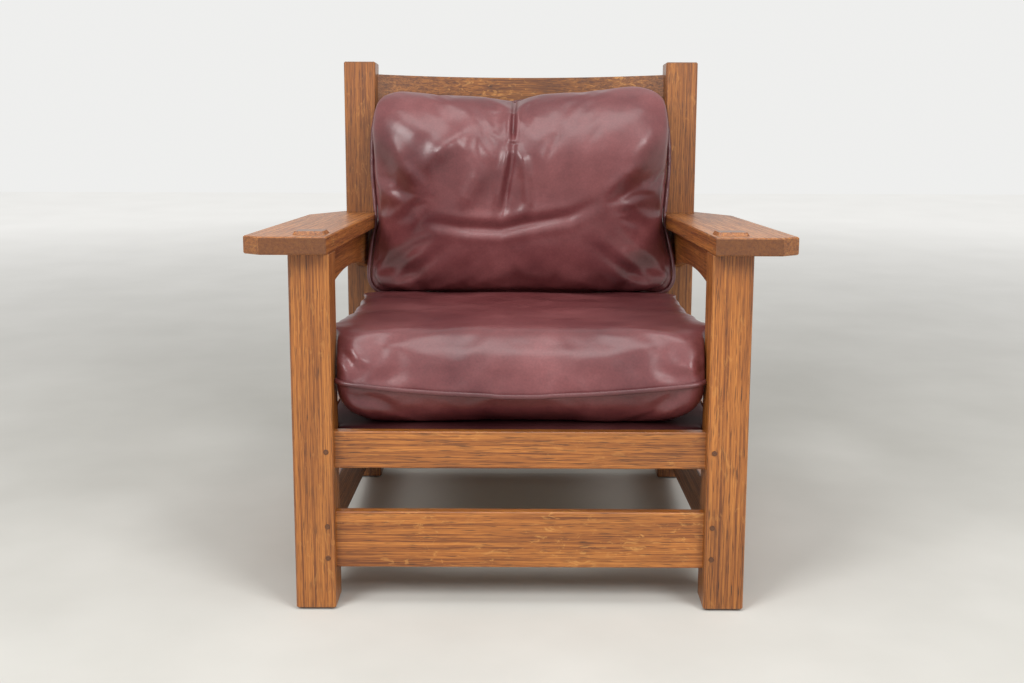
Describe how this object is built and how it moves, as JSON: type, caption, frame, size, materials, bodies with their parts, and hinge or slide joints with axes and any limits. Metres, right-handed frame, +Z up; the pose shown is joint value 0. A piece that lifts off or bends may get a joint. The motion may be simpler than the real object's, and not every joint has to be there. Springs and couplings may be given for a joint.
{
  "type": "mission armchair",
  "caption": "Oak mission lounge armchair with wide flat arms, pegged rails, a bowed slat back and loose leather seat and back cushions.",
  "frame": {"origin": "on the floor, under the middle of the chair's width and depth", "axes": "+X to the right as seen from in front, +Y towards the back, +Z up; the chair faces -Y"},
  "size_m": [0.89, 0.8519, 0.9116],
  "materials": {
    "quartered_oak": "satin",
    "peg_oak": "satin",
    "hidden_wood": "matte",
    "oxblood_leather": "satin",
    "piping_leather": "satin",
    "cushion_fill": "matte",
    "pad_felt": "matte",
    "webbing_jute": "matte",
    "glide_nylon": "matte"
  },
  "bodies": {
    "frame": {"arch_rail_left": "quartered_oak", "arch_rail_right": "quartered_oak", "arm_left": "quartered_oak", "arm_right": "quartered_oak", "back_slat_1": "quartered_oak", "back_slat_2": "quartered_oak", "back_slat_3": "quartered_oak", "back_slat_4": "quartered_oak", "crest_rail": "quartered_oak", "deck_cover": "oxblood_leather", "deck_front_rail": "hidden_wood", "deck_pad": "pad_felt", "deck_rear_rail": "hidden_wood", "deck_side_rail_left": "hidden_wood", "deck_side_rail_right": "hidden_wood", "deck_webbing": "webbing_jute", "front_cleat": "hidden_wood", "front_pegs": "peg_oak", "front_post_left": "quartered_oak", "front_post_right": "quartered_oak", "front_seat_rail": "quartered_oak", "front_stretcher": "quartered_oak", "glides": "glide_nylon", "lower_back_rail": "quartered_oak", "rear_cleat": "hidden_wood", "rear_pegs": "peg_oak", "rear_post_left": "quartered_oak", "rear_post_right": "quartered_oak", "rear_seat_rail": "quartered_oak", "rear_stretcher": "quartered_oak", "side_cleat_left": "hidden_wood", "side_cleat_right": "hidden_wood", "side_pegs_left": "peg_oak", "side_pegs_right": "peg_oak", "side_seat_rail_left": "quartered_oak", "side_seat_rail_right": "quartered_oak", "side_stretcher_left": "quartered_oak", "side_stretcher_right": "quartered_oak"},
    "back_cushion": {"back_cushion": "oxblood_leather", "back_cushion_core": "cushion_fill", "back_cushion_piping": "piping_leather"},
    "seat_cushion": {"seat_cushion": "oxblood_leather", "seat_cushion_core": "cushion_fill", "seat_cushion_piping": "piping_leather"}
  },
  "joints": [
    {"name": "seat_cushion_slide", "type": "slide", "parent": "frame", "child": "seat_cushion", "axis": [0, -0.9983, 0.0576], "range_m": [0, 0.7]},
    {"name": "back_cushion_lift", "type": "slide", "parent": "frame", "child": "back_cushion", "axis": [0, 0.0576, 0.9983], "range_m": [0, 0.5]}
  ]
}
